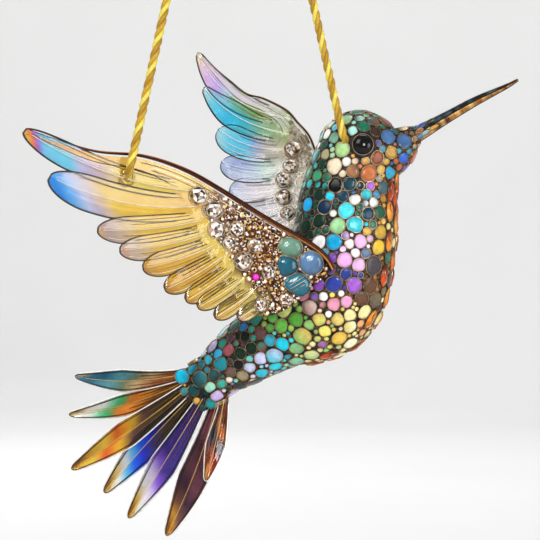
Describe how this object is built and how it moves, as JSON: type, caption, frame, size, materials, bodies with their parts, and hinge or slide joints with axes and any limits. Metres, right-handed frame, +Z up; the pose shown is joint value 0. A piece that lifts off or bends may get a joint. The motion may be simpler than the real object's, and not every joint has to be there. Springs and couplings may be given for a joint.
{
  "type": "bird suncatcher",
  "caption": "Hanging hummingbird suncatcher: mosaic body in the round, slim beak, cast glass wings with set crystals, fanned glass tail, hung on a twisted cord.",
  "frame": {"origin": "seat of the hook inside the top of the cord's loop", "axes": "+Z up, +X towards the bird's beak, -Y towards the bird's right side, which the picture shows"},
  "size_m": [0.1648, 0.1277, 0.2705],
  "materials": {
    "mosaic": "domed enamel stones in many colours set in dark metal",
    "beak_metal": "dark above, gold below",
    "eye_bead": "black glass bead",
    "amber_wing_glass": "clear cast glass, amber with blue and violet tips",
    "rainbow_wing_glass": "clear cast glass, turquoise, violet and green",
    "copper_edge": "dark copper",
    "clear_crystal": "clear faceted crystal",
    "shoulder_glass": "domed slate-blue and teal glass",
    "tail_glass": "clear cast glass, amber, blue and violet",
    "gold_cord": "twisted gold cord"
  },
  "bodies": {
    "root": {"beak": "beak_metal", "body": "mosaic", "hanging_cord": "gold_cord", "left_crystal_1": "clear_crystal", "left_crystal_2": "clear_crystal", "left_crystal_3": "clear_crystal", "left_crystal_4": "clear_crystal", "left_crystal_5": "clear_crystal", "left_crystal_6": "clear_crystal", "left_crystal_7": "clear_crystal", "left_crystal_8": "clear_crystal", "left_eye": "eye_bead", "left_inner_crystal_1": "clear_crystal", "left_inner_crystal_2": "clear_crystal", "left_inner_crystal_3": "clear_crystal", "left_inner_crystal_4": "clear_crystal", "left_inner_crystal_5": "clear_crystal", "left_shoulder_tile_1": "shoulder_glass", "left_shoulder_tile_2": "shoulder_glass", "left_shoulder_tile_3": "shoulder_glass", "left_shoulder_tile_4": "shoulder_glass", "left_wing": "rainbow_wing_glass", "left_wing_edge": "copper_edge", "right_crystal_1": "clear_crystal", "right_crystal_10": "clear_crystal", "right_crystal_2": "clear_crystal", "right_crystal_3": "clear_crystal", "right_crystal_4": "clear_crystal", "right_crystal_5": "clear_crystal", "right_crystal_6": "clear_crystal", "right_crystal_7": "clear_crystal", "right_crystal_8": "clear_crystal", "right_crystal_9": "clear_crystal", "right_eye": "eye_bead", "right_inner_crystal_1": "clear_crystal", "right_inner_crystal_2": "clear_crystal", "right_inner_crystal_3": "clear_crystal", "right_inner_crystal_4": "clear_crystal", "right_shoulder_tile_1": "shoulder_glass", "right_shoulder_tile_2": "shoulder_glass", "right_shoulder_tile_3": "shoulder_glass", "right_shoulder_tile_4": "shoulder_glass", "right_wing": "amber_wing_glass", "right_wing_edge": "copper_edge", "tail_feather_1": "tail_glass", "tail_feather_2": "tail_glass", "tail_feather_3": "tail_glass", "tail_feather_4": "tail_glass", "tail_feather_5": "tail_glass", "tail_feather_6": "tail_glass", "tail_feather_7": "tail_glass", "wing_knot": "gold_cord"}
  },
  "joints": []
}
